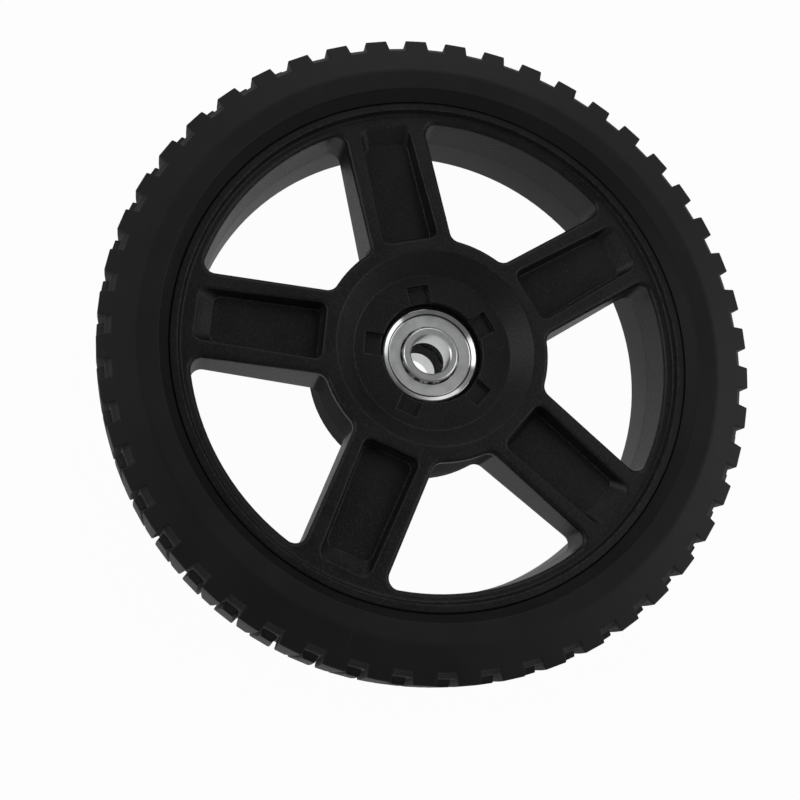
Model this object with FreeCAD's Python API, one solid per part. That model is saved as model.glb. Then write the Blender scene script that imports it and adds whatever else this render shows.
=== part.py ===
import FreeCAD, Part
import math
import os

# A lawn mower wheel lying on the end of its hub, outer face up and axle along Z.
# Sizes are in millimetres. Shapes are drawn about the tyre's middle plane and
# lifted at the end so that the end of the hub stands on Z = 0.

# Rim and tyre
rim_diameter = 161.4
rim_width = 33.0
rim_lip_width = 2.3
rim_lip_thickness = 3.0
rim_lip_rounding = 0.6
rim_lip_draft = 0.7
rim_ledge_rounding = 1.0
rim_back_rounding = 1.0
tyre_seat_depth = 2.5
barrel_depth = 5.7
tyre_section = 18.2
tyre_width = 35.3
bead_chamfer = 0.7
bead_width = 2.8
bead_step = 0.5
crease_height = 8.9
shoulder_drop = 1.2
shoulder_rounding = 0.8
crown_drop = 0.5

# Tread lugs: two sets of tapered lugs that reach past the middle between each other
lug_count = 48
lug_height = 2.7
lug_share = 0.53
lug_setback = 0.25
lug_end_slope = 0.7
lug_overlap = 9.7
lug_draft = 0.4
tread_groove = 1.6

# Hub face, spokes and boss
spoke_count = 5
spoke_width = 26.6
spoke_root_depth = 17.8
spoke_tip_depth = 12.8
spoke_floor_thickness = 3.9
window_draft = 0.3
window_rounding = 3.5
window_edge_rounding = 1.5
face_height = 10.8
boss_diameter = 72.0
boss_length = 31.8
boss_wall = 3.5
dish_ring_width = 4.7
dish_run = 6.2
dish_depth = 5.8
dish_edge_rounding = 0.8
web_thickness = 3.5
tube_wall = 5.0
tube_draft = 0.8
rib_thickness = 3.5
rib_inset = 1.0

# Pocket in the face of each spoke, narrower towards the rim
pocket_width = 17.8
pocket_end_width = 15.8
pocket_rounding = 2.4
pocket_draft = 0.7
pocket_inset = 0.8
pocket_end_slope = 4.2
pocket_end_margin = 2.8
pocket_edge_rounding = 0.8

# Shallow notches around the bearing recess
notch_width = 7.0
notch_length = 5.4
notch_depth = 1.6

# Ball bearings pressed into both ends of the hub
axle_bore_diameter = 12.7
bearing_diameter = 28.575
flange_diameter = 31.1
flange_thickness = 1.6
flange_recess_gap = 0.75
race_diameter = 17.8
race_rise = 0.7
race_inset = 0.2
race_running_gap = 0.6
race_rounding = 0.7
bore_chamfer = 0.4
bearing_span = 30.8
race_guard = 1.7
ball_diameter = 4.7625
ball_clearance = 0.05
ball_spacing_gap = 0.3
ball_axial_gap = 0.7
groove_wrap = 0.8
plate_thickness = 0.8
plate_recess = 1.2
plate_edge_wall = 0.9
plate_overhang = 0.35
cup_floor_thickness = 1.0
seat_relief = 0.6
seat_shoulder = 3.3

# Bearing levels above the seat of its flange, and radii
bore_radius = axle_bore_diameter / 2
bearing_radius = bearing_diameter / 2
flange_radius = flange_diameter / 2
race_radius = race_diameter / 2
ball_radius = ball_diameter / 2
groove_radius = ball_radius + ball_clearance
ball_ring_radius = (bore_radius + bearing_radius) / 2
ball_count = int(math.pi / math.asin((ball_diameter + ball_spacing_gap) / (2 * ball_ring_radius)))
plate_top = flange_thickness - plate_recess
plate_bottom = plate_top - plate_thickness
ball_level = plate_bottom - ball_axial_gap - ball_radius
cup_floor_top = ball_level - ball_radius - ball_axial_gap
cup_bottom = cup_floor_top - cup_floor_thickness
race_top = flange_thickness + race_rise
race_bottom = cup_bottom + race_inset
race_hole_radius = race_radius + race_running_gap
plate_radius = bearing_radius - plate_edge_wall

# The front flange seats on the tyre's middle plane, and the rear bearing mirrors the front one
mirror_level = race_top - bearing_span / 2
rest_level = race_top - bearing_span - race_guard
seat_bottom = cup_bottom - seat_relief
recess_radius = flange_radius + flange_recess_gap

# Hub and tyre radii
rim_radius = rim_diameter / 2
seat_radius = rim_radius - tyre_seat_depth
barrel_radius = rim_radius - barrel_depth
boss_radius = boss_diameter / 2
dish_radius = boss_radius - dish_ring_width
dish_floor_radius = dish_radius - dish_run
tube_radius = recess_radius + tube_wall
tread_floor_radius = rim_radius + tyre_section
tread_radius = tread_floor_radius + lug_height
lip_level = rim_width / 2
channel_level = lip_level - rim_lip_thickness
spoke_root = face_height - spoke_root_depth
spoke_tip = face_height - spoke_tip_depth
boss_back = face_height - boss_length
dish_floor = face_height - dish_depth
crease_level = tyre_width / 2
shoulder_level = crease_level - shoulder_drop

spoke_pitch = 360 / spoke_count
lug_pitch = 360 / lug_count

AXIS = FreeCAD.Vector(0, 0, 1)
CENTRE = FreeCAD.Vector(0, 0, 0)
EVEN = 0.001  # faces and centres this close lie level


def section_point(radius, level):
    """Point of a section through the axle, at a radius and a level."""
    return FreeCAD.Vector(radius, 0, level)


def section_edges(start, steps):
    """Edges from start through each step: a point ends a line, a pair of points (via, end) an arc."""
    edges = []
    here = section_point(*start)
    for step in steps:
        if isinstance(step[0], tuple):
            via = section_point(*step[0])
            there = section_point(*step[1])
            edges.append(Part.Arc(here, via, there).toShape())
        else:
            there = section_point(*step)
            edges.append(Part.makeLine(here, there))
        here = there
    edges.append(Part.makeLine(here, section_point(*start)))
    return edges


def turned_solid(start, steps):
    """Solid of revolution about the axle, from a closed section."""
    section = Part.Face(Part.Wire(section_edges(start, steps)))
    return section.revolve(CENTRE, AXIS, 360)


def around(shape, angle):
    """Copy of a shape turned about the axle by an angle in degrees."""
    copy = shape.copy()
    copy.rotate(CENTRE, AXIS, angle)
    return copy


def at_angle(radius, angle):
    """Point in the middle plane at a radius and an angle in radians."""
    return FreeCAD.Vector(radius * math.cos(angle), radius * math.sin(angle), 0)


def crown_level_radius(top_radius, level):
    """Radius of the crowned tread at a level, where it is top_radius in the middle plane."""
    return top_radius - crown_drop * (level / shoulder_level) ** 2


def arc_via(centre, radius, angle):
    """Point of a rounding of a section, at an angle in degrees about its centre."""
    turn = math.radians(angle)
    return (centre[0] + radius * math.cos(turn), centre[1] + radius * math.sin(turn))


def tyre_band():
    """Tyre without its lugs: the seat in the rim, the stepped sidewalls and the crowned tread floor."""
    bead_level = lip_level - bead_chamfer
    bead_top = (rim_radius + bead_chamfer, lip_level)
    step_foot = (rim_radius + bead_width, lip_level)
    step_head = (step_foot[0] + bead_step / 2, lip_level + bead_step)
    crease = (rim_radius + crease_height, crease_level)
    floor_edge_level = shoulder_level - shoulder_rounding
    floor_edge = (crown_level_radius(tread_floor_radius, floor_edge_level), floor_edge_level)
    shoulder = (floor_edge[0] - shoulder_rounding, shoulder_level)
    shoulder_via = arc_via((shoulder[0], floor_edge_level), shoulder_rounding, 45)

    def below(point):
        return (point[0], -point[1])

    steps = [
        (rim_radius, channel_level),
        (rim_radius, bead_level),
        bead_top,
        step_foot,
        step_head,
        crease,
        shoulder,
        (shoulder_via, floor_edge),
        ((tread_floor_radius, 0), below(floor_edge)),
        (below(shoulder_via), below(shoulder)),
        below(crease),
        below(step_head),
        below(step_foot),
        below(bead_top),
        (rim_radius, -bead_level),
        (rim_radius, -channel_level),
        (seat_radius, -channel_level),
    ]
    return turned_solid((seat_radius, channel_level), steps)


def tread_ring():
    """Ring between a little below the tread floor and the crowned tips of the lugs."""
    sunk_radius = crown_level_radius(tread_floor_radius, shoulder_level) - lug_height
    edge_radius = crown_level_radius(tread_radius, shoulder_level)
    steps = [
        (edge_radius, shoulder_level),
        ((tread_radius, 0), (edge_radius, -shoulder_level)),
        (sunk_radius, -shoulder_level),
    ]
    return turned_solid((sunk_radius, shoulder_level), steps)


def lug_outline(radius):
    """Closed outline of a lug at a radius: widest at the shoulder, tapering past the middle plane."""
    depth = (tread_radius - radius) / lug_height
    pitch_length = math.radians(lug_pitch) * tread_radius
    shoulder_width = lug_share * pitch_length
    middle_width = pitch_length / 2 - tread_groove
    outer_end = shoulder_level - lug_setback
    inner_end = -lug_overlap
    taper = (shoulder_width - middle_width) / outer_end
    spread = lug_draft * depth

    def half_width(level):
        return (middle_width + taper * level) / 2 + spread

    top = outer_end - lug_end_slope * (1 - depth)
    foot = inner_end - spread
    corners = [
        FreeCAD.Vector(radius, half_width(outer_end), top),
        FreeCAD.Vector(radius, half_width(inner_end), foot),
        FreeCAD.Vector(radius, -half_width(inner_end), foot),
        FreeCAD.Vector(radius, -half_width(outer_end), top),
    ]
    return Part.makePolygon(corners + corners[:1])


def tread_lug():
    """One lug of the front set, with drafted sides and a crowned tip."""
    inside = crown_level_radius(tread_floor_radius, shoulder_level) - lug_height / 2
    outside = tread_radius + lug_height / 2
    block = Part.makeLoft([lug_outline(inside), lug_outline(outside)], True, True)
    return block.common(tread_ring()).Solids[0]


def make_tyre():
    """Rubber tyre with its front lugs on the pitch and its rear lugs half a pitch round."""
    front_lug = tread_lug()
    rear_lug = front_lug.mirror(CENTRE, AXIS)
    lugs = []
    for step in range(lug_count):
        lugs.append(around(front_lug, step * lug_pitch))
        lugs.append(around(rear_lug, (step + 0.5) * lug_pitch))
    return tyre_band().multiFuse(lugs).Solids[0]


def window_outline(level, draft):
    """Outline of the window beyond the first spoke: boss and rim arcs, spoke sides and round corners."""
    near = boss_radius + draft
    far = barrel_radius - draft
    half = spoke_width / 2 + draft
    offset = half + window_rounding
    near_x = math.sqrt((near + window_rounding) ** 2 - offset ** 2)
    far_x = math.sqrt((far - window_rounding) ** 2 - offset ** 2)
    near_turn = math.atan2(offset, near_x)
    far_turn = math.atan2(offset, far_x)
    middle = math.radians(spoke_pitch / 2)

    def corner(x, start, end):
        centre = FreeCAD.Vector(x, offset, 0)
        return centre + at_angle(window_rounding, (start + end) / 2)

    near_side = FreeCAD.Vector(near_x, half, 0)
    far_side = FreeCAD.Vector(far_x, half, 0)
    near_boss = at_angle(near, near_turn)
    far_rim = at_angle(far, far_turn)
    near_via = corner(near_x, -math.pi / 2, near_turn - math.pi)
    far_via = corner(far_x, -math.pi / 2, far_turn)

    def across(point):
        along = FreeCAD.Vector(math.cos(middle), math.sin(middle), 0)
        return along * (2 * along.dot(point)) - point

    edges = [
        Part.makeLine(near_side, far_side),
        Part.Arc(far_side, far_via, far_rim).toShape(),
        Part.Arc(far_rim, at_angle(far, middle), across(far_rim)).toShape(),
        Part.Arc(across(far_rim), across(far_via), across(far_side)).toShape(),
        Part.makeLine(across(far_side), across(near_side)),
        Part.Arc(across(near_side), across(near_via), across(near_boss)).toShape(),
        Part.Arc(across(near_boss), at_angle(near, middle), near_boss).toShape(),
        Part.Arc(near_boss, near_via, near_side).toShape(),
    ]
    outline = Part.Wire(edges)
    outline.translate(FreeCAD.Vector(0, 0, level))
    return outline


def window_core():
    """Core that leaves one window open, wider towards the face."""
    outlines = [window_outline(face_height, 0), window_outline(spoke_root, window_draft)]
    return Part.makeLoft(outlines, True, True)


def spoke_back(radius):
    """Level of a spoke's sloped back at a radius."""
    share = (radius - boss_radius) / (barrel_radius - boss_radius)
    return spoke_root + share * (spoke_tip - spoke_root)


def rounded_outline(corners, rounding):
    """Closed outline through corner points, with the corners rounded."""
    bulge = rounding * (1 - math.sqrt(0.5))
    turns = []
    for index, corner in enumerate(corners):
        before = (corners[index - 1] - corner).normalize()
        after = (corners[(index + 1) % len(corners)] - corner).normalize()
        via = corner + (before + after) * bulge
        turns.append((corner + before * rounding, via, corner + after * rounding))
    edges = []
    for index, (start, via, end) in enumerate(turns):
        following = turns[(index + 1) % len(turns)][0]
        edges.append(Part.Arc(start, via, end).toShape())
        edges.append(Part.makeLine(end, following))
    return Part.Wire(edges)


def pocket_core():
    """Core that leaves the drafted pocket in the first spoke, with a sloped outer end and an even floor."""
    near = boss_radius - pocket_inset
    far = barrel_radius - pocket_end_margin
    near_half = pocket_width / 2
    far_half = pocket_end_width / 2

    def outline(near_x, far_x, inset, level):
        corners = [(near_x, -near_half + inset), (far_x, -far_half + inset)]
        corners += [(far_x, far_half - inset), (near_x, near_half - inset)]
        return rounded_outline([FreeCAD.Vector(x, y, level(x)) for x, y in corners], pocket_rounding)

    def floor(radius):
        return spoke_back(radius) + spoke_floor_thickness

    mouth = outline(near, far, 0, lambda radius: face_height)
    bottom = outline(near + pocket_draft, far - pocket_end_slope, pocket_draft, floor)
    return Part.makeLoft([mouth, bottom], True, True)


def notch_core():
    """Core of a shallow notch that opens into the bearing recess."""
    length = recess_radius + notch_length
    core = Part.makeBox(length, notch_width, notch_depth)
    core.translate(FreeCAD.Vector(0, -notch_width / 2, dish_floor - notch_depth))
    return core


def rim_ring():
    """Rim: the channel that holds the tyre, both lips, and the barrel that the windows look through."""
    lip_edge = rim_radius - rim_lip_width
    ledge_edge = lip_edge - rim_lip_draft
    corner = (rim_radius - rim_lip_rounding, lip_level - rim_lip_rounding)
    lip_via = arc_via(corner, rim_lip_rounding, 45)
    ledge_centre = (ledge_edge - rim_ledge_rounding, face_height + rim_ledge_rounding)
    ledge_via = arc_via(ledge_centre, rim_ledge_rounding, -45)
    back_edge = -lip_level + rim_back_rounding
    back_via = arc_via((barrel_radius + rim_back_rounding, back_edge), rim_back_rounding, 225)

    def below(point):
        return (point[0], -point[1])

    steps = [
        (ledge_centre[0], face_height),
        (ledge_via, (ledge_edge, ledge_centre[1])),
        (lip_edge, lip_level),
        (corner[0], lip_level),
        (lip_via, (rim_radius, corner[1])),
        (rim_radius, channel_level),
        (seat_radius, channel_level),
        (seat_radius, -channel_level),
        (rim_radius, -channel_level),
        below((rim_radius, corner[1])),
        (below(lip_via), below((corner[0], lip_level))),
        (barrel_radius + rim_back_rounding, -lip_level),
        (back_via, (barrel_radius, back_edge)),
        (barrel_radius - window_draft, spoke_root),
    ]
    return turned_solid((barrel_radius, face_height), steps)


def boss():
    """Boss: dished face, bearing seats at both ends of its tube, and the skirt round its open back."""
    slope = math.atan2(dish_depth, dish_run)
    web_back = dish_floor - web_thickness
    skirt_radius = boss_radius - boss_wall
    under_shift = web_thickness * math.tan(slope / 2)
    under_start = dish_floor_radius + under_shift
    under_end_level = web_back + (skirt_radius - under_start) * math.tan(slope)
    bore = bearing_radius - seat_shoulder

    def mirrored(level):
        return 2 * mirror_level - level

    steps = [
        (dish_radius, face_height),
        (dish_floor_radius, dish_floor),
        (recess_radius, dish_floor),
        (recess_radius, 0),
        (bearing_radius, 0),
        (bearing_radius, seat_bottom),
        (bore, seat_bottom),
        (bore, mirrored(seat_bottom)),
        (bearing_radius, mirrored(seat_bottom)),
        (bearing_radius, mirrored(0)),
        (recess_radius, mirrored(0)),
        (recess_radius, rest_level),
        (tube_radius, rest_level),
        (tube_radius + tube_draft, web_back),
        (under_start, web_back),
        (skirt_radius, under_end_level),
        (skirt_radius, boss_back),
        (boss_radius - window_draft, boss_back),
        (boss_radius + window_draft, spoke_root),
    ]
    return turned_solid((boss_radius, face_height), steps)


def back_rib():
    """Rib in the open back of the boss, from its tube to its skirt in line with a spoke."""
    web_middle = dish_floor - web_thickness / 2
    skirt_middle = boss_radius - boss_wall / 2
    foot = boss_back + rib_inset
    corners = [
        (tube_radius - rib_inset, web_middle),
        (dish_floor_radius, web_middle),
        (skirt_middle, spoke_root),
        (skirt_middle, foot),
        (tube_radius - rib_inset, foot),
    ]
    points = [FreeCAD.Vector(x, -rib_thickness / 2, z) for x, z in corners]
    side = Part.Face(Part.makePolygon(points + points[:1]))
    return side.extrude(FreeCAD.Vector(0, rib_thickness, 0))


def face_web():
    """Disc of the hub's face between boss and rim, with a sloped back, before the windows are opened."""
    near = boss_radius - boss_wall / 2
    far = seat_radius - rib_inset
    steps = [
        (far, face_height),
        (far, spoke_back(far)),
        (near, spoke_back(near)),
    ]
    return turned_solid((near, face_height), steps)


def loop_kind(loop):
    """What a loop of edges on the hub's face goes round: a window, a pocket, the dish or the face itself."""
    middle = loop.BoundBox.Center
    if math.hypot(middle.x, middle.y) < EVEN:
        return "dish" if loop.BoundBox.XLength < boss_diameter else "face"
    turn = math.degrees(math.atan2(middle.y, middle.x)) % spoke_pitch
    return "window" if spoke_pitch / 4 < turn < 3 * spoke_pitch / 4 else "pocket"


def front_face(hub):
    """Flat face of the hub that its windows, pockets and dish open from."""
    flat = [face for face in hub.Faces if face.BoundBox.ZLength < EVEN]
    level = [face for face in flat if abs(face.BoundBox.ZMax - face_height) < EVEN]
    return max(level, key=lambda face: face.Area)


def round_face_edges(hub):
    """Hub with the edges round its windows, pockets and dish rounded."""
    roundings = {"window": window_edge_rounding, "pocket": pocket_edge_rounding, "dish": dish_edge_rounding}
    for kind, rounding in roundings.items():
        loops = [loop for loop in front_face(hub).Wires if loop_kind(loop) == kind]
        hub = hub.makeFillet(rounding, [edge for loop in loops for edge in loop.Edges])
    return hub


def make_hub():
    """Plastic hub moulded in one piece: rim, pocketed spokes, dished boss and its back ribs."""
    turns = [step * spoke_pitch for step in range(spoke_count)]
    window = window_core()
    pocket = pocket_core()
    notch = notch_core()
    rib = back_rib()
    web = face_web().cut([around(window, turn) for turn in turns])
    body = boss().multiFuse([rim_ring(), web] + [around(rib, turn) for turn in turns]).removeSplitter()
    cores = [around(core, turn) for core in (pocket, notch) for turn in turns]
    return round_face_edges(body.cut(cores)).Solids[0]


def make_cup():
    """Bearing cup: flange with a rolled edge, outer ball groove and a floor with a hole for the race."""
    shoulder = ball_ring_radius + groove_wrap * ball_radius
    groove_half = math.sqrt(groove_radius ** 2 - (shoulder - ball_ring_radius) ** 2)
    lip_radius = plate_radius - plate_overhang
    roll = flange_thickness / 2
    roll_centre = flange_radius - roll
    steps = [
        (plate_radius, plate_bottom),
        (plate_radius, plate_top),
        (lip_radius, plate_top),
        (lip_radius, plate_top + plate_overhang / 2),
        (roll_centre, flange_thickness),
        ((flange_radius, roll), (roll_centre, 0)),
        (bearing_radius, 0),
        (bearing_radius, cup_bottom + cup_floor_thickness),
        (bearing_radius - cup_floor_thickness, cup_bottom),
        (race_hole_radius, cup_bottom),
        (race_hole_radius, cup_floor_top),
        (shoulder, cup_floor_top),
        (shoulder, ball_level - groove_half),
        ((ball_ring_radius + groove_radius, ball_level), (shoulder, ball_level + groove_half)),
    ]
    return turned_solid((shoulder, plate_bottom), steps)


def make_plate():
    """Flat side plate that closes the bearing around its race."""
    steps = [
        (plate_radius, plate_bottom),
        (plate_radius, plate_top),
        (race_hole_radius, plate_top),
    ]
    return turned_solid((race_hole_radius, plate_bottom), steps)


def make_race():
    """Inner race with the axle bore, the inner ball groove and a rounded end that stands proud."""
    groove_half = math.sqrt(groove_radius ** 2 - (ball_ring_radius - race_radius) ** 2)
    rounding = (race_radius - race_rounding, race_top - race_rounding)
    steps = [
        (bore_radius, race_top - bore_chamfer),
        (bore_radius + bore_chamfer, race_top),
        (rounding[0], race_top),
        (arc_via(rounding, race_rounding, 45), (race_radius, rounding[1])),
        (race_radius, ball_level + groove_half),
        ((ball_ring_radius - groove_radius, ball_level), (race_radius, ball_level - groove_half)),
        (race_radius, race_bottom),
        (bore_radius + bore_chamfer, race_bottom),
    ]
    return turned_solid((bore_radius, race_bottom + bore_chamfer), steps)


def make_ball(index):
    """One ball of the ring, counted from the first spoke."""
    place = at_angle(ball_ring_radius, 2 * math.pi * index / ball_count)
    place.z = ball_level
    return Part.makeSphere(ball_radius, place)


def bearing_pieces():
    """Pieces of a bearing by name, placed as the front one."""
    pieces = {
        "bearing_cup": make_cup(),
        "bearing_plate": make_plate(),
        "bearing_race": make_race(),
    }
    for index in range(ball_count):
        pieces[f"ball_{index + 1:02d}"] = make_ball(index)
    return pieces


def make_wheel():
    """Every piece of the wheel by name, about the tyre's middle plane."""
    wheel = {"tyre": make_tyre(), "hub": make_hub()}
    for name, piece in bearing_pieces().items():
        wheel["front_" + name] = piece
        wheel["rear_" + name] = piece.mirror(FreeCAD.Vector(0, 0, mirror_level), AXIS)
    return wheel


os.makedirs("parts", exist_ok=True)
for node, solid in make_wheel().items():
    solid.translate(FreeCAD.Vector(0, 0, -rest_level))
    solid.exportStep(f"parts/{node}.step")
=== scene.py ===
"""Studio scene of a spoked lawn mower wheel lying on a pale floor, its dished face up."""

import logging
import math
from dataclasses import dataclass
from enum import Enum

import bmesh
import bpy
from mathutils import Matrix, Vector


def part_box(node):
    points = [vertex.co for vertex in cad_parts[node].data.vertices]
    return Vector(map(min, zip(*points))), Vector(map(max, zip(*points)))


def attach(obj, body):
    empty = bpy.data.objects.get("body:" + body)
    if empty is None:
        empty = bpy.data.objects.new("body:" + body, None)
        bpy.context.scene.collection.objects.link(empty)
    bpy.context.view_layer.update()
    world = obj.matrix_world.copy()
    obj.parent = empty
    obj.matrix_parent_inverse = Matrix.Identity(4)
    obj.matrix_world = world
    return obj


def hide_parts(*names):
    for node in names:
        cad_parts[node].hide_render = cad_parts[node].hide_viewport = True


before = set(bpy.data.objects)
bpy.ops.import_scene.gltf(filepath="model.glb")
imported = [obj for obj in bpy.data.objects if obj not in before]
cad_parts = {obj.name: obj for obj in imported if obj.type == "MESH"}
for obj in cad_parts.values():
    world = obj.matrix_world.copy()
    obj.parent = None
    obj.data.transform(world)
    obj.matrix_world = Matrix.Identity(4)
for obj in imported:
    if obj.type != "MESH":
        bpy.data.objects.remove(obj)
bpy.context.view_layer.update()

MM = 0.001
NOISE_SPREAD = (0.3, 0.7)
GREY = tuple[float, float, float, float]
log = logging.getLogger("mower_wheel")


def grey(level: float, warmth: float = 0.0) -> GREY:
    """Gives an opaque grey, redder where warmth is above 0 and bluer where it is below."""
    return (level * (1 + warmth), level, level * (1 - warmth), 1.0)


class Side(Enum):
    """The two ends of the axle bore, and which way each faces along it."""

    FRONT = 1
    REAR = -1

    @property
    def label(self) -> str:
        """Gives the side's name as the pieces spell it."""
        return self.name.lower()


class Socket:
    """An output of a node, whose arithmetic adds Math nodes to its graph."""

    def __init__(self, graph: "Graph", output: bpy.types.NodeSocket) -> None:
        """Wraps one output socket of a graph."""
        self.graph = graph
        self.output = output

    def _math(self, operation: str, *values: "Socket | float") -> "Socket":
        """Adds one Math node for an operation on these values."""
        return self.graph.add("ShaderNodeMath", {"operation": operation}, dict(enumerate(values)))

    def __add__(self, other: "Socket | float") -> "Socket":
        """Gives self + other."""
        return self._math("ADD", self, other)

    __radd__ = __add__

    def __sub__(self, other: "Socket | float") -> "Socket":
        """Gives self - other."""
        return self._math("SUBTRACT", self, other)

    def __rsub__(self, other: "Socket | float") -> "Socket":
        """Gives other - self."""
        return self._math("SUBTRACT", other, self)

    def __mul__(self, other: "Socket | float") -> "Socket":
        """Gives self * other."""
        return self._math("MULTIPLY", self, other)

    __rmul__ = __mul__

    def __pow__(self, other: "Socket | float") -> "Socket":
        """Gives self to the power of other."""
        return self._math("POWER", self, other)

    def __abs__(self) -> "Socket":
        """Gives the size of self without its sign."""
        return self._math("ABSOLUTE", self)

    def sine(self) -> "Socket":
        """Gives the sine of self in radians."""
        return self._math("SINE", self)

    def largest(self, other: "Socket | float") -> "Socket":
        """Gives the larger of self and other."""
        return self._math("MAXIMUM", self, other)

    def angle_from(self, other: "Socket") -> "Socket":
        """Gives the angle whose sine goes with self and whose cosine goes with other."""
        return self._math("ARCTAN2", self, other)

    def eased(self, start: float, end: float) -> "Socket":
        """Turns self into a share that eases from 0 at start to 1 at end.

        Args:
            start: Value of self at which the share is 0.
            end: Value of self at which the share is 1; it may lie below start.

        Returns:
            The share, held within 0 and 1.
        """
        settings = {"interpolation_type": "SMOOTHSTEP", "clamp": True}
        if end < start:
            return 1 - self.eased(end, start)
        return self.graph.add("ShaderNodeMapRange", settings, {0: self, 1: start, 2: end})


class Graph:
    """The nodes of one material or of the world."""

    EDGE_SAMPLES = 6
    EDGE_START = 0.995
    EDGE_FULL = 0.9

    def __init__(self, tree: bpy.types.NodeTree) -> None:
        """Starts from an empty tree."""
        self.tree = tree
        tree.nodes.clear()

    def node(self, kind: str, settings: dict, inputs: dict) -> bpy.types.Node:
        """Adds one node.

        Args:
            kind: Blender's name for the type of node.
            settings: The node's own settings by name, set first.
            inputs: Values or Sockets for its inputs, by name or number.

        Returns:
            The new node.
        """
        made = self.tree.nodes.new(kind)
        for name, value in settings.items():
            setattr(made, name, value)
        for key, value in inputs.items():
            if isinstance(value, Socket):
                self.tree.links.new(value.output, made.inputs[key])
            else:
                made.inputs[key].default_value = value
        return made

    def add(self, kind: str, settings: dict, inputs: dict, output: int | str = 0) -> Socket:
        """Adds one node and gives one of its outputs.

        Args:
            kind: Blender's name for the type of node.
            settings: The node's own settings by name, set first.
            inputs: Values or Sockets for its inputs, by name or number.
            output: Name or number of the output that is wanted.

        Returns:
            That output, wrapped.
        """
        return Socket(self, self.node(kind, settings, inputs).outputs[output])

    def place(self) -> Socket:
        """Gives the place on the piece in metres, the same in every pose."""
        return self.add("ShaderNodeTexCoord", {}, {}, "Object")

    def facing(self) -> Socket:
        """Gives the way that the surface faces."""
        return self.add("ShaderNodeNewGeometry", {}, {}, "Normal")

    def noise(self, place: Socket, size: float, detail: float = 2.0, roughness: float = 0.5) -> Socket:
        """Adds a noise whose blotches are about a given size.

        Args:
            place: Where the noise is read.
            size: Width of a blotch in metres.
            detail: How many finer layers it has.
            roughness: How strong the finer layers are.

        Returns:
            The noise, about 0.5 on average.
        """
        sockets = {"Vector": place, "Scale": 1 / size, "Detail": detail, "Roughness": roughness}
        return self.add("ShaderNodeTexNoise", {"noise_dimensions": "3D"}, sockets, 0)

    def mixed(self, share: "Socket | float", first: "Socket | GREY", second: "Socket | GREY") -> Socket:
        """Mixes two colours.

        Args:
            share: How much of the second colour shows.
            first: Colour at a share of 0.
            second: Colour at a share of 1.

        Returns:
            The mixed colour.
        """
        return self.add("ShaderNodeMix", {"data_type": "RGBA"}, {0: share, 6: first, 7: second}, 2)

    def about_axle(self, place: Socket) -> tuple[Socket, Socket, Socket]:
        """Reads a place as it lies about the axle.

        Args:
            place: The place in metres.

        Returns:
            The distance from the axle, the angle round it from +X, and the level along it.
        """
        parts = self.node("ShaderNodeSeparateXYZ", {}, {"Vector": place})
        x, y, z = (Socket(self, output) for output in parts.outputs)
        radius = (x * x + y * y) ** 0.5
        return radius, y.angle_from(x), z

    def bumped(self, height: Socket, depth: float, strength: float, normal: Socket | None = None) -> Socket:
        """Turns heights into a normal.

        Args:
            height: Height over the surface, from 0 to 1.
            depth: What a height of 1 is worth, in metres.
            strength: Share of the effect that is used.
            normal: Normal to start from, or None for the mesh's own.

        Returns:
            The bumped normal.
        """
        sockets = {"Height": height, "Distance": depth, "Strength": strength}
        if normal is not None:
            sockets["Normal"] = normal
        return self.add("ShaderNodeBump", {}, sockets, "Normal")

    def edges(self, reach: float) -> tuple[Socket, Socket]:
        """Finds the outer and inner edges of the piece.

        Args:
            reach: How far from an edge it is felt, in metres.

        Returns:
            The normal with those edges rounded off, and a share that is 1 along them.
        """
        rounded = self.add("ShaderNodeBevel", {"samples": self.EDGE_SAMPLES}, {"Radius": reach})
        flat = self.facing()
        likeness = {"operation": "DOT_PRODUCT"}
        along = self.add("ShaderNodeVectorMath", likeness, {0: rounded, 1: flat}, "Value")
        return rounded, along.eased(self.EDGE_START, self.EDGE_FULL)

    def surface(self, inputs: dict) -> None:
        """Ends the graph in one Principled surface with these inputs."""
        shader = self.add("ShaderNodeBsdfPrincipled", {}, inputs, "BSDF")
        self.node("ShaderNodeOutputMaterial", {}, {"Surface": shader})


def new_graph(name: str) -> tuple[bpy.types.Material, Graph]:
    """Starts a material.

    Args:
        name: Name of the finish.

    Returns:
        The material and its empty graph.
    """
    material = bpy.data.materials.new(name)
    material.use_nodes = True
    return material, Graph(material.node_tree)


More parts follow.
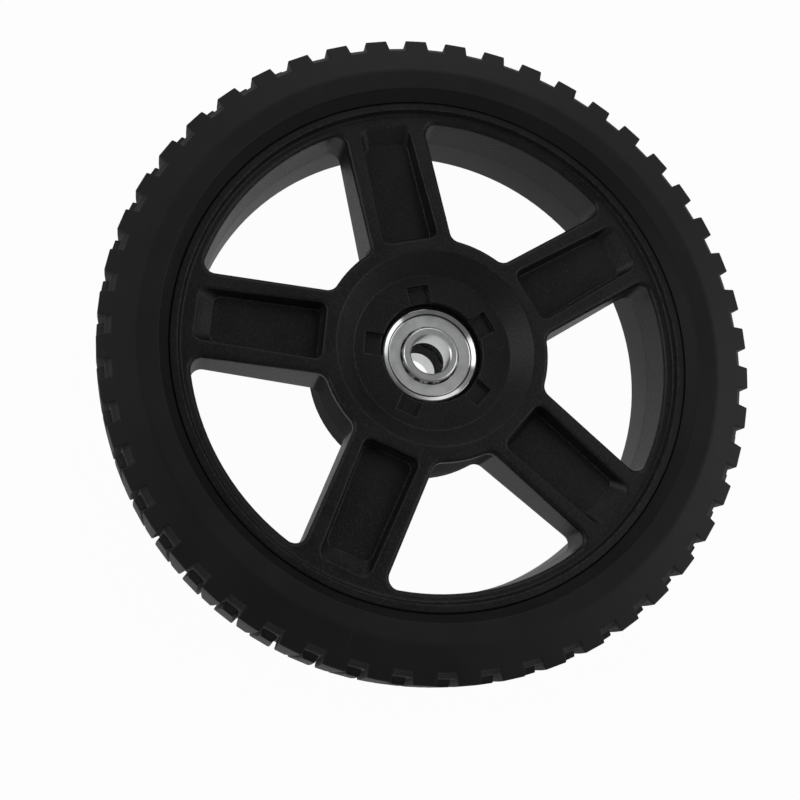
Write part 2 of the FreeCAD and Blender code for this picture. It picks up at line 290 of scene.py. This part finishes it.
@dataclass(frozen=True)
class MouldedPlastic:
    """Black moulded plastic: grained in front, smoother behind, paler along its edges, partly rubbed wear
    and partly a painted highlight.
    """

    name: str = "black_moulded_plastic"
    dark: float = 0.005
    light: float = 0.009
    # Colour of the paler edges: partly rubbed wear, partly a painted highlight.
    worn: float = 0.09
    fleck: float = 0.02
    smooth_roughness: float = 0.40
    grained_roughness: float = 0.42
    wall_roughness: float = 0.85
    density: float = 1.36
    grain_size: float = 0.75 * MM
    grain_depth: float = 0.14 * MM
    grain_strength: float = 0.8
    smooth_relief: float = 0.15
    mottle_size: float = 14 * MM
    mottle_gloss: float = 0.10
    grain_gloss: float = 0.25
    edge_gloss: float = 0.06
    edge_radius: float = 0.7 * MM
    rub_size: float = 1.1 * MM
    rub_spread: tuple[float, float] = (0.4, 0.65)
    worn_share: float = 0.6
    fleck_spread: tuple[float, float] = (0.5, 0.7)
    smooth_flecks: float = 0.2
    grained_flecks: float = 0.4
    parting_level: float = 27.0 * MM
    parting_blur: float = 0.3 * MM
    wall_level: float = 39.0 * MM
    wall_radius: float = 36.0 * MM
    wall_blur: float = 1.0 * MM

    def material(self) -> bpy.types.Material:
        """Builds the finish.

        Returns:
            The finish as a material.
        """
        material, graph = new_graph(self.name)
        place = graph.place()
        radius, _, level = graph.about_axle(place)
        smooth_below = self.parting_level - self.parting_blur
        grained = level.eased(smooth_below, self.parting_level + self.parting_blur)
        mottle = graph.noise(place, self.mottle_size, 4, 0.6)
        grain = graph.noise(place, self.grain_size, 2, 0.6)
        below_face = level.eased(self.wall_level, self.wall_level - self.wall_blur)
        wall = below_face * abs(radius - self.wall_radius).eased(2 * self.wall_blur, self.wall_blur)
        # Paler colour along the edges, broken up by noise: partly rubbed wear, partly a painted highlight.
        wear_and_highlight_noise = graph.noise(place, self.rub_size, 3, 0.7)
        rounded, edge = graph.edges(self.edge_radius)
        edge = edge * wear_and_highlight_noise.eased(*self.rub_spread)
        flecks = grain.eased(*self.fleck_spread) * (self.smooth_flecks + self.grained_flecks * grained)
        body = graph.mixed(mottle.eased(*NOISE_SPREAD), grey(self.dark), grey(self.light))
        flecked = graph.mixed(flecks, body, grey(self.fleck))
        colour = graph.mixed(edge * self.worn_share, flecked, grey(self.worn))
        base = self.smooth_roughness + (self.grained_roughness - self.smooth_roughness) * grained
        dull = base + (self.wall_roughness - base) * wall
        uneven = self.mottle_gloss * (mottle - 0.5) + self.grain_gloss * grained * (grain - 0.5)
        roughness = dull + uneven - self.edge_gloss * edge
        relief = 0.5 + (self.smooth_relief + (1 - self.smooth_relief) * grained) * (grain - 0.5)
        normal = graph.bumped(relief, self.grain_depth, self.grain_strength, rounded)
        graph.surface({"Base Color": colour, "Roughness": roughness, "Normal": normal, "IOR": self.density})
        return material


@dataclass(frozen=True)
class TyreRubber:
    """Black rubber: smooth sidewalls with turning marks and mould seams, matt lugs with a painted highlight
    along their edges.
    """

    name: str = "black_tyre_rubber"
    dark: float = 0.006
    light: float = 0.009
    # Colour of the painted highlight along the lug edges.
    edge: float = 0.07
    seam: float = 0.014
    roughness: float = 0.5
    tread_roughness: float = 0.62
    density: float = 1.36
    mark_pitch: float = 0.55 * MM
    mark_depth: float = 0.012 * MM
    mark_strength: float = 0.4
    grain_size: float = 0.35 * MM
    grain_depth: float = 0.02 * MM
    grain_strength: float = 0.3
    grain_gloss: float = 0.1
    mottle_size: float = 22 * MM
    mottle_gloss: float = 0.12
    flow_size: float = 5 * MM
    flow_gloss: float = 0.1
    tread_radius: float = 97.6 * MM
    tread_blur: float = 0.6 * MM
    tread_facing: tuple[float, float] = (0.95, 0.8)
    edge_radius: float = 0.35 * MM
    edge_spread: tuple[float, float] = (0.3, 0.55)
    seam_count: int = 4
    seam_angle: float = math.radians(23.5)
    seam_width: float = 0.007

    def material(self) -> bpy.types.Material:
        """Builds the finish.

        Returns:
            The finish as a material.
        """
        material, graph = new_graph(self.name)
        place = graph.place()
        radius, angle, _ = graph.about_axle(place)
        mottle = graph.noise(place, self.mottle_size, 4, 0.6)
        flow = graph.noise(place, self.flow_size, 3, 0.6)
        grain = graph.noise(place, self.grain_size, 2, 0.5)
        marks = (radius * (math.tau / self.mark_pitch)).sine() * 0.5 + 0.5
        outer = radius.eased(self.tread_radius - self.tread_blur, self.tread_radius + self.tread_blur)
        # Painted highlight: paler colour along the rounded edges of the tread, broken up by the flow noise.
        edge = graph.edges(self.edge_radius)[1] * outer * flow.eased(*self.edge_spread)
        end_on = abs(graph.about_axle(graph.facing())[2])
        tread = outer * end_on.eased(*self.tread_facing) * (1 - edge)
        from_seam = abs(((angle - self.seam_angle) * (self.seam_count / 2)).sine())
        seam = from_seam.eased(self.seam_width, 0) * flow.eased(*NOISE_SPREAD)
        body = graph.mixed(mottle.eased(*NOISE_SPREAD), grey(self.dark), grey(self.light))
        seamed = graph.mixed(seam, body, grey(self.seam))
        # Lays the painted edge highlight over the body colour.
        colour = graph.mixed(edge, seamed, grey(self.edge))
        uneven = self.mottle_gloss * (mottle - 0.5) + self.flow_gloss * (flow - 0.5)
        smooth = self.roughness + uneven + self.grain_gloss * (grain - 0.5)
        roughness = smooth + (self.tread_roughness - self.roughness) * tread
        turned = graph.bumped(marks, self.mark_depth, self.mark_strength)
        normal = graph.bumped(grain, self.grain_depth, self.grain_strength, turned)
        graph.surface({"Base Color": colour, "Roughness": roughness, "Normal": normal, "IOR": self.density})
        return material


class Polish(Enum):
    """How a steel piece is finished, by the roughness that it leaves."""

    SATIN = 0.5
    GROUND = 0.3
    BRIGHT = 0.15


@dataclass(frozen=True)
class PlatedSteel:
    """Clouded steel with fine rings from turning or pressing and painted shade in the gap round the side
    plate.
    """

    name: str
    polish: Polish
    dark: float
    light: float
    dark_cast: float = -0.01
    light_cast: float = -0.005
    # Colour of the painted shade in the gap round the side plate.
    gap: float = 0.03
    gap_radius: float = 13.4 * MM
    gap_width: float = 0.6 * MM
    ring_size: float = 0.18 * MM
    ring_stretch: float = 0.4 * MM
    ring_depth: float = 0.010 * MM
    ring_strength: float = 0.35
    ring_gloss: float = 0.12
    cloud_size: float = 5 * MM
    cloud_gloss: float = 0.10

    def material(self) -> bpy.types.Material:
        """Builds the finish.

        Returns:
            The finish as a material.
        """
        material, graph = new_graph(self.name)
        place = graph.place()
        radius, angle, level = graph.about_axle(place)
        round_axle = {"X": radius, "Y": angle * self.ring_stretch, "Z": level}
        lathe = graph.add("ShaderNodeCombineXYZ", {}, round_axle)
        rings = graph.noise(lathe, self.ring_size, 3, 0.6)
        cloud = graph.noise(place, self.cloud_size, 4, 0.6)
        dark = grey(self.dark, self.dark_cast)
        light = grey(self.light, self.light_cast)
        plating = graph.mixed(cloud.eased(*NOISE_SPREAD), dark, light)
        # Painted shade: a dark ring at the gap round the side plate, where shade falls between the parts.
        gap = abs(radius - self.gap_radius).eased(self.gap_width / 2, self.gap_width / 6)
        colour = graph.mixed(gap, plating, grey(self.gap))
        uneven = self.cloud_gloss * (cloud - 0.5) + self.ring_gloss * (rings - 0.5)
        roughness = self.polish.value + uneven
        normal = graph.bumped(rings, self.ring_depth, self.ring_strength)
        graph.surface({"Base Color": colour, "Metallic": 1.0, "Roughness": roughness, "Normal": normal})
        return material


def dress(node: str, material: bpy.types.Material) -> None:
    """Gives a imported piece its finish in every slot.

    Args:
        node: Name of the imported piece.
        material: The finish.
    """
    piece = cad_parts[node]
    if not piece.material_slots:
        piece.data.materials.append(material)
    for slot in piece.material_slots:
        slot.material = material
    log.info("dressed %s in %s", node, material.name)


def new_piece(name: str, mesh: bmesh.types.BMesh, material: bpy.types.Material) -> bpy.types.Object:
    """Turns a finished bmesh into an object at the origin.

    Args:
        name: Name of the piece.
        mesh: Its shape, which is freed.
        material: Its finish.

    Returns:
        The object, smooth shaded and linked to the scene.
    """
    data = bpy.data.meshes.new(name)
    for face in mesh.faces:
        face.smooth = True
    mesh.to_mesh(data)
    mesh.free()
    data.materials.append(material)
    piece = bpy.data.objects.new(name, data)
    bpy.context.scene.collection.objects.link(piece)
    return piece


@dataclass(frozen=True)
class Corner:
    """A corner of a turned section: distance from the axle, level above the middle, and rounding."""

    radius: float
    level: float
    rounding: float = 0.0


@dataclass
class Tyre:
    """Rubber tyre: one closed skin with stepped sidewalls and two interleaved rows of tread lugs."""

    tread_radius: float
    half_width: float
    middle: float
    seat_radius: float = 78.4 * MM
    seat_half_width: float = 10.0 * MM
    bead_radius: float = 80.9 * MM
    bead_level: float = 12.7 * MM
    bead_rounding: float = 0.3 * MM
    step_radius: float = 83.5 * MM
    step_level: float = 16.5 * MM
    step_height: float = 0.5 * MM
    step_rounding: float = 0.2 * MM
    crease_radius: float = 89.6 * MM
    crease_rounding: float = 0.7 * MM
    ramp_radius: float = 97.2 * MM
    floor_half_width: float = 14.3 * MM
    crown_drop: float = 0.4 * MM
    lug_count: int = 48
    lug_height: float = 2.2 * MM
    lug_half_length: float = 15.5 * MM
    lug_overlap: float = 9.7 * MM
    lug_end_slope: float = 0.5 * MM
    lug_share: float = 0.53
    lug_draft: float = 0.35 * MM
    lug_rounding: float = 0.7 * MM
    lug_columns: int = 4
    lug_rows: int = 2
    groove_width: float = 1.6 * MM
    sharp_angle: float = math.radians(24)

    @property
    def columns(self) -> int:
        """Gives how many columns of the skin one pitch of the tread takes."""
        return self.lug_rows * self.lug_columns

    def sidewall_level(self, radius: float) -> float:
        """Gives the level of the outer sidewall, which runs straight from the crease to the lug tips.

        Args:
            radius: Distance from the axle.

        Returns:
            The level above the middle.
        """
        reach = self.tip_radius(self.lug_half_length) - self.crease_radius
        slope = (self.half_width - self.lug_half_length) / reach
        return self.half_width - slope * (radius - self.crease_radius)

    def tip_radius(self, level: float) -> float:
        """Gives the radius of the lug tips, which falls away from the middle to both shoulders."""
        return self.tread_radius - self.crown_drop * (level / self.lug_half_length) ** 2

    def section(self) -> list[Corner]:
        """Lists the corners of the section.

        Returns:
            The corners from the front of the seat round the tread to the rear of the seat.
        """
        floor = self.lug_overlap + self.lug_end_slope
        step_top = self.step_level + self.step_height
        front = [
            Corner(self.seat_radius, self.seat_half_width),
            Corner(self.bead_radius, self.seat_half_width),
            Corner(self.bead_radius, self.bead_level, self.bead_rounding),
            Corner(self.step_radius, self.step_level, self.step_rounding),
            Corner(self.step_radius + self.step_height / 2, step_top, self.step_rounding),
            Corner(self.crease_radius, self.half_width, self.crease_rounding),
            Corner(self.ramp_radius, self.sidewall_level(self.ramp_radius)),
            Corner(self.tip_radius(self.floor_half_width) - self.lug_height, self.floor_half_width),
            Corner(self.tip_radius(floor) - self.lug_height, floor),
            Corner(self.tip_radius(self.lug_overlap) - self.lug_height, self.lug_overlap),
        ]
        middle = [Corner(self.tread_radius - self.lug_height, 0.0)]
        rear = [Corner(corner.radius, -corner.level, corner.rounding) for corner in reversed(front)]
        return front + middle + rear

    def turned_skin(self) -> bmesh.types.BMesh:
        """Rounds the section's corners and spins it once round the axle.

        Returns:
            The closed skin, with a plain tread.
        """
        mesh = bmesh.new()
        corners = self.section()
        points = [mesh.verts.new((corner.radius, 0, self.middle + corner.level)) for corner in corners]
        for first, second in zip(points, points[1:] + points[:1]):
            mesh.edges.new((first, second))
        for rounding in sorted({corner.rounding for corner in corners} - {0.0}):
            chosen = [point for point, corner in zip(points, corners) if corner.rounding == rounding]
            bmesh.ops.bevel(mesh, geom=chosen, offset=rounding, offset_type="OFFSET", segments=3,
                            profile=0.5, affect="VERTICES", material=-1)
        bmesh.ops.spin(mesh, geom=mesh.verts[:] + mesh.edges[:], cent=(0, 0, 0), axis=(0, 0, 1),
                       dvec=(0, 0, 0), angle=math.tau, steps=self.lug_count * self.columns, use_merge=True)
        bmesh.ops.recalc_face_normals(mesh, faces=mesh.faces)
        return mesh

    def tread_place(self, column: int, radius: float, level: float) -> tuple[float, float, float]:
        """Gives where a point of the plain tread goes when the lugs rise.

        Args:
            column: Its column within one pitch: four across a front lug, then four across a rear lug.
            radius: Its distance from the axle on the plain tread.
            level: Its level above the middle on the plain tread.

        Returns:
            Its angle from the middle of the front lug, its radius and its level.
        """
        side = Side.FRONT if column < self.lug_columns else Side.REAR
        along = level * side.value
        across = column % self.lug_columns
        on_top = 0 < across < self.lug_columns - 1
        pitch = math.tau / self.lug_count
        middle_width = pitch * self.tread_radius / 2 - self.groove_width
        shoulder_width = self.lug_share * pitch * self.tread_radius
        half = (middle_width + (shoulder_width - middle_width) * along / self.lug_half_length) / 2
        half += 0 if on_top else self.lug_draft
        start = 0 if side is Side.FRONT else pitch / 2
        angle = start + math.copysign(half / self.tread_radius, across - (self.lug_columns - 1) / 2)
        on_sidewall = radius < self.ramp_radius + self.lug_draft
        raised = on_top and along > -self.lug_overlap - self.lug_end_slope / 2 and not on_sidewall
        if raised and along > self.floor_half_width - self.lug_draft:
            return angle, self.tip_radius(self.lug_half_length), side.value * self.lug_half_length
        if raised:
            return angle, self.tip_radius(level), level
        return angle, radius, level

    def raise_lugs(self, mesh: bmesh.types.BMesh) -> None:
        """Moves the columns of the plain tread so that both rows of lugs stand up.

        Args:
            mesh: The turned skin.
        """
        step = math.tau / (self.lug_count * self.columns)
        for vert in mesh.verts:
            radius = math.hypot(vert.co.x, vert.co.y)
            if radius < self.ramp_radius - self.lug_draft:
                continue
            pitch_number, column = divmod(round(math.atan2(vert.co.y, vert.co.x) / step), self.columns)
            angle, radius, level = self.tread_place(column, radius, vert.co.z - self.middle)
            turn = Matrix.Rotation(pitch_number * self.columns * step + angle, 3, "Z")
            vert.co = turn @ Vector((radius, 0, self.middle + level))

    def round_lugs(self, mesh: bmesh.types.BMesh) -> None:
        """Rounds every outer edge of the tread that is sharp.

        Args:
            mesh: The skin with its lugs raised.
        """
        mesh.normal_update()
        inner = self.ramp_radius - self.lug_draft
        sharp = [edge for edge in mesh.edges
                 if edge.is_convex and edge.calc_face_angle(0) > self.sharp_angle
                 and min(end.co.xy.length for end in edge.verts) > inner]
        bmesh.ops.bevel(mesh, geom=sharp, offset=self.lug_rounding, offset_type="OFFSET", segments=2,
                        profile=0.5, affect="EDGES", clamp_overlap=True, material=-1)

    def build(self, material: bpy.types.Material) -> bpy.types.Object:
        """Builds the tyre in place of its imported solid.

        Args:
            material: The rubber.

        Returns:
            The tyre.
        """
        mesh = self.turned_skin()
        self.raise_lugs(mesh)
        self.round_lugs(mesh)
        piece = new_piece("moulded_tyre", mesh, material)
        piece.modifiers.new("even_shading", "WEIGHTED_NORMAL").keep_sharp = True
        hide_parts("tyre")
        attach(piece, "wheel")
        log.info("built %s with %d lugs", piece.name, self.lug_rows * self.lug_count)
        return piece


@dataclass
class Hub:
    """Moulded hub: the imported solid, with pockets, front lip and parting line at their seen levels."""

    middle: float
    face_level: float = 10.8 * MM
    boss_radius: float = 36.0 * MM
    barrel_radius: float = 75.0 * MM
    lip_radius: float = 77.0 * MM
    lip_share: float = 0.386
    face_tolerance: float = 0.02 * MM
    solid_parting: float = -7.0 * MM
    parting: float = -3.2 * MM
    parting_tolerance: float = 0.05 * MM
    parting_reach: float = 0.6 * MM
    spoke_count: int = 5
    pocket_start: float = 35.2 * MM
    pocket_end: float = 72.2 * MM
    pocket_start_half: float = 8.9 * MM
    pocket_end_half: float = 7.9 * MM
    pocket_edge: float = 1.0 * MM
    pocket_stretch: float = 1.4 * MM
    stretch_power: int = 3
    solid_root_depth: float = 13.9 * MM
    solid_tip_depth: float = 8.9 * MM
    root_depth: float = 5.8 * MM
    tip_depth: float = 3.6 * MM
    sharp_angle: float = math.radians(30)
    merge_distance: float = 0.001 * MM

    def depth_at(self, along: float, root: float, tip: float) -> float:
        """Gives a depth that runs evenly from the boss to the barrel.

        Args:
            along: Distance from the axle along the spoke.
            root: Depth at the boss.
            tip: Depth at the barrel.

        Returns:
            The depth there.
        """
        share = (along - self.boss_radius) / (self.barrel_radius - self.boss_radius)
        return root + (tip - root) * share

    def in_pocket(self, along: float, across: float, depth: float) -> bool:
        """Tells whether a point of the hub lies in or on the rim of a spoke's front pocket.

        Args:
            along: Distance from the axle along the spoke.
            across: Distance from the spoke's middle line.
            depth: Depth below the face.

        Returns:
            True for a point of the pocket.
        """
        share = (along - self.pocket_start) / (self.pocket_end - self.pocket_start)
        half = self.pocket_start_half + (self.pocket_end_half - self.pocket_start_half) * share
        ends = self.pocket_start - self.pocket_edge < along < self.pocket_end + self.pocket_edge
        floor = self.depth_at(along, self.solid_root_depth, self.solid_tip_depth)
        return ends and across < half + self.pocket_edge and depth < floor + self.pocket_edge

    def pocket_place(self, local: Vector, depth: float) -> Vector:
        """Lifts a point of a pocket and draws it out towards the rim.

        Args:
            local: The point, with its spoke turned to +X.
            depth: Its depth below the face.

        Returns:
            Its new place, with its spoke still at +X.
        """
        solid_floor = self.depth_at(local.x, self.solid_root_depth, self.solid_tip_depth)
        floor = self.depth_at(local.x, self.root_depth, self.tip_depth)
        if depth > self.pocket_edge:
            lift = (floor - self.pocket_edge) / (solid_floor - self.pocket_edge)
            depth = self.pocket_edge + (depth - self.pocket_edge) * lift
        share = max(0.0, (local.x - self.boss_radius) / (self.pocket_end - self.boss_radius))
        along = local.x + self.pocket_stretch * share ** self.stretch_power
        return Vector((along, local.y, self.middle + self.face_level - depth))

    def on_parting(self, radius: float, level: float) -> bool:
        """Tells whether a point lies on the barrel's parting line."""
        near = abs(radius - self.barrel_radius) < self.parting_reach
        return near and abs(level - self.solid_parting) < self.parting_tolerance

    def settled(self, place: Vector) -> Vector:
        """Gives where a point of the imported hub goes.

        Args:
            place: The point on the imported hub.

        Returns:
            The same place, or a new one on the lip, on the parting line or in a pocket.
        """
        radius = place.xy.length
        level = place.z - self.middle
        rise = level - self.face_level
        if rise > self.face_tolerance:
            lowered = self.middle + self.face_level + rise * self.lip_share
            return Vector((place.x, place.y, lowered)) if radius > self.lip_radius else place
        if self.on_parting(radius, level):
            return Vector((place.x, place.y, self.middle + self.parting))
        pitch = math.tau / self.spoke_count
        turn = Matrix.Rotation(round(math.atan2(place.y, place.x) / pitch) * pitch, 3, "Z")
        local = turn.transposed() @ place
        if self.in_pocket(local.x, abs(local.y), -rise):
            return turn @ self.pocket_place(local, -rise)
        return place

    def build(self, material: bpy.types.Material) -> bpy.types.Object:
        """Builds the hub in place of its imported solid.

        Args:
            material: The plastic.

        Returns:
            The hub.
        """
        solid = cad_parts["hub"]
        mesh = bmesh.new()
        mesh.from_mesh(solid.data)
        bmesh.ops.transform(mesh, matrix=solid.matrix_world, verts=mesh.verts)
        bmesh.ops.remove_doubles(mesh, verts=mesh.verts, dist=self.merge_distance)
        for vert in mesh.verts:
            vert.co = self.settled(vert.co)
        mesh.normal_update()
        for edge in mesh.edges:
            edge.smooth = edge.calc_face_angle(0) < self.sharp_angle
        piece = new_piece("moulded_hub", mesh, material)
        piece.modifiers.new("even_shading", "WEIGHTED_NORMAL").keep_sharp = True
        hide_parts("hub")
        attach(piece, "wheel")
        log.info("built %s with %d pockets", piece.name, self.spoke_count)
        return piece


@dataclass
class Bearing:
    """One flanged ball bearing, dressed where it is packed."""

    side: Side
    ball_count: int = 12

    def dress(self, cup: bpy.types.Material, plate: bpy.types.Material,
              polished: bpy.types.Material) -> None:
        """Gives each piece of the bearing its steel.

        Args:
            cup: Finish of the pressed cup and its rolled flange.
            plate: Finish of the side plate.
            polished: Finish of the race and the balls.
        """
        dress(f"{self.side.label}_bearing_cup", cup)
        dress(f"{self.side.label}_bearing_plate", plate)
        dress(f"{self.side.label}_bearing_race", polished)
        for number in range(1, self.ball_count + 1):
            dress(f"{self.side.label}_ball_{number:02d}", polished)


@dataclass(frozen=True)
class SoftBox:
    """A square soft lamp that points at the wheel, with its angles in degrees."""

    name: str
    azimuth: float
    tilt: float
    distance: float
    width: float
    power: float

    def place(self, aim: Vector) -> None:
        """Hangs the lamp in the studio.

        Args:
            aim: Point on the wheel that it faces.
        """
        lamp = bpy.data.lights.new(self.name, "AREA")
        lamp.size = self.width
        lamp.energy = self.power
        body = bpy.data.objects.new(self.name, lamp)
        lean = Matrix.Rotation(math.radians(self.tilt), 3, "Y")
        turn = Matrix.Rotation(math.radians(self.azimuth), 3, "Z") @ lean
        direction = turn @ Vector((0, 0, 1))
        body.matrix_world = Matrix.Translation(aim + direction * self.distance) @ turn.to_4x4()
        bpy.context.scene.collection.objects.link(body)
        log.info("hung lamp %s", self.name)


@dataclass
class Studio:
    """Pale floor, soft lamps and a world that is bright at the horizon and dim overhead."""

    aim: Vector
    floor_half_width: float = 6.0
    floor_drop: float = 0.2 * MM
    floor_colour: float = 0.82
    floor_shade: float = 0.98
    floor_mottle: float = 0.4
    floor_glow: float = 0.97
    floor_gloss: float = 0.55
    horizon: float = 0.5
    overhead: float = 0.15
    dim_above: float = 0.75
    bright_below: float = 0.05

    def floor(self) -> None:
        """Lays the floor, white to the eye and in reflections, and keeps the wheel's shadow on it."""
        material, graph = new_graph("pale_floor")
        path = graph.node("ShaderNodeLightPath", {}, {})
        camera, glossy, through = (Socket(graph, path.outputs[name]) for name in
                                   ("Is Camera Ray", "Is Glossy Ray", "Is Transmission Ray"))
        share = camera.largest(through) * self.floor_glow + glossy * self.floor_gloss
        cloud = graph.noise(graph.place(), self.floor_mottle, 2)
        paint = graph.mixed(cloud, grey(self.floor_colour * self.floor_shade), grey(self.floor_colour))
        matt = graph.add("ShaderNodeBsdfDiffuse", {}, {"Color": paint}, "BSDF")
        glow = graph.add("ShaderNodeEmission", {}, {"Color": grey(1.0), "Strength": 1.0}, "Emission")
        both = graph.add("ShaderNodeMixShader", {}, {0: share, 1: matt, 2: glow}, "Shader")
        graph.node("ShaderNodeOutputMaterial", {}, {"Surface": both})
        mesh = bmesh.new()
        bmesh.ops.create_grid(mesh, x_segments=2, y_segments=2, size=self.floor_half_width)
        bmesh.ops.translate(mesh, verts=mesh.verts, vec=(0, 0, -self.floor_drop))
        new_piece("studio_floor", mesh, material)
        log.info("laid the floor")

    def world(self) -> None:
        """Sets the light from all round: white behind the wheel, bright low down, dim overhead."""
        world = bpy.data.worlds.new("studio_light")
        world.use_nodes = True
        bpy.context.scene.world = world
        graph = Graph(world.node_tree)
        path = graph.node("ShaderNodeLightPath", {}, {})
        camera = Socket(graph, path.outputs["Is Camera Ray"])
        way = graph.add("ShaderNodeTexCoord", {}, {}, "Generated")
        up = Socket(graph, graph.node("ShaderNodeSeparateXYZ", {}, {"Vector": way}).outputs["Z"])
        low = up.eased(self.dim_above, self.bright_below)
        seen = (self.overhead + (self.horizon - self.overhead) * low).largest(camera)
        light = graph.add("ShaderNodeBackground", {}, {"Color": grey(1.0), "Strength": seen}, "Background")
        graph.node("ShaderNodeOutputWorld", {}, {"Surface": light})
        log.info("set the world light")

    def lamps(self) -> None:
        """Hangs the lamps: a broad one to the right of the picture, one above it and one to its left."""
        boxes = (
            SoftBox("right_lamp", azimuth=41, tilt=52, distance=1.3, width=1.0, power=3.8),
            SoftBox("top_lamp", azimuth=125, tilt=55, distance=1.3, width=1.0, power=2.3),
            SoftBox("left_lamp", azimuth=210, tilt=58, distance=1.3, width=0.9, power=4.0),
        )
        for box in boxes:
            box.place(self.aim)


@dataclass(frozen=True)
class StudioCamera:
    """Camera at the viewing angle, worked out for a square picture in pixels; angles are in degrees."""

    picture_width: float = 800
    focal_length: float = 1123
    aim_column: float = 430.5
    aim_row: float = 354.6
    distance: float = 353.8 * MM
    tilt: float = 20.98
    turn: float = 1.3
    roll: float = 40.94
    sensor_width: float = 36
    near_limit: float = 1 * MM

    def place(self, aim: Vector) -> None:
        """Sets the scene's camera.

        Args:
            aim: Point on the axle that shows at the aim's column and row.
        """
        tilt, turn, roll = (math.radians(angle) for angle in (self.tilt, self.turn, self.roll))
        first = Vector((math.cos(turn), math.sin(turn), 0))
        second = Vector((math.sin(turn), -math.cos(turn), 0))
        towards = math.cos(tilt) * Vector((0, 0, 1)) + math.sin(tilt) * second
        leaning = math.cos(tilt) * second - math.sin(tilt) * Vector((0, 0, 1))
        right = math.cos(roll) * first - math.sin(roll) * leaning
        down = math.sin(roll) * first + math.cos(roll) * leaning
        centre = self.picture_width / 2
        offset = Vector((self.aim_column - centre, self.aim_row - centre, 0))
        sight = offset / self.focal_length + Vector((0, 0, 1))
        swing = Vector((0, 0, 1)).rotation_difference(sight).to_matrix()
        rows = swing @ Matrix((right, down, -towards))
        axes = Matrix((rows[0], -rows[1], -rows[2])).transposed()
        lens = bpy.data.cameras.new("studio_camera")
        lens.sensor_width = self.sensor_width
        lens.lens = self.focal_length * self.sensor_width / self.picture_width
        lens.clip_start = self.near_limit
        body = bpy.data.objects.new("studio_camera", lens)
        body.matrix_world = Matrix.Translation(aim + towards * self.distance) @ axes.to_4x4()
        bpy.context.scene.collection.objects.link(body)
        bpy.context.scene.camera = body
        log.info("placed the camera")


def main() -> None:
    """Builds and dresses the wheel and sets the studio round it."""
    logging.basicConfig(level=logging.INFO, format="%(message)s")
    bpy.context.scene.view_settings.view_transform = "Standard"
    low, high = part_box("tyre")
    aim = Vector((0, 0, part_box("front_bearing_cup")[1].z))
    StudioCamera().place(aim)
    studio = Studio(aim)
    studio.floor()
    studio.world()
    studio.lamps()
    middle = (high.z + low.z) / 2
    tyre = Tyre(tread_radius=(high.x - low.x) / 2, half_width=(high.z - low.z) / 2, middle=middle)
    tyre.build(TyreRubber().material())
    Hub(middle).build(MouldedPlastic().material())
    cup = PlatedSteel("bright_zinc", Polish.BRIGHT, dark=0.60, light=0.78).material()
    plate = PlatedSteel("satin_zinc", Polish.SATIN, dark=0.66, light=0.80).material()
    polished = PlatedSteel("polished_steel", Polish.GROUND, dark=0.84, light=0.94).material()
    for side in Side:
        Bearing(side).dress(cup, plate, polished)


if __name__ == "__main__":
    main()
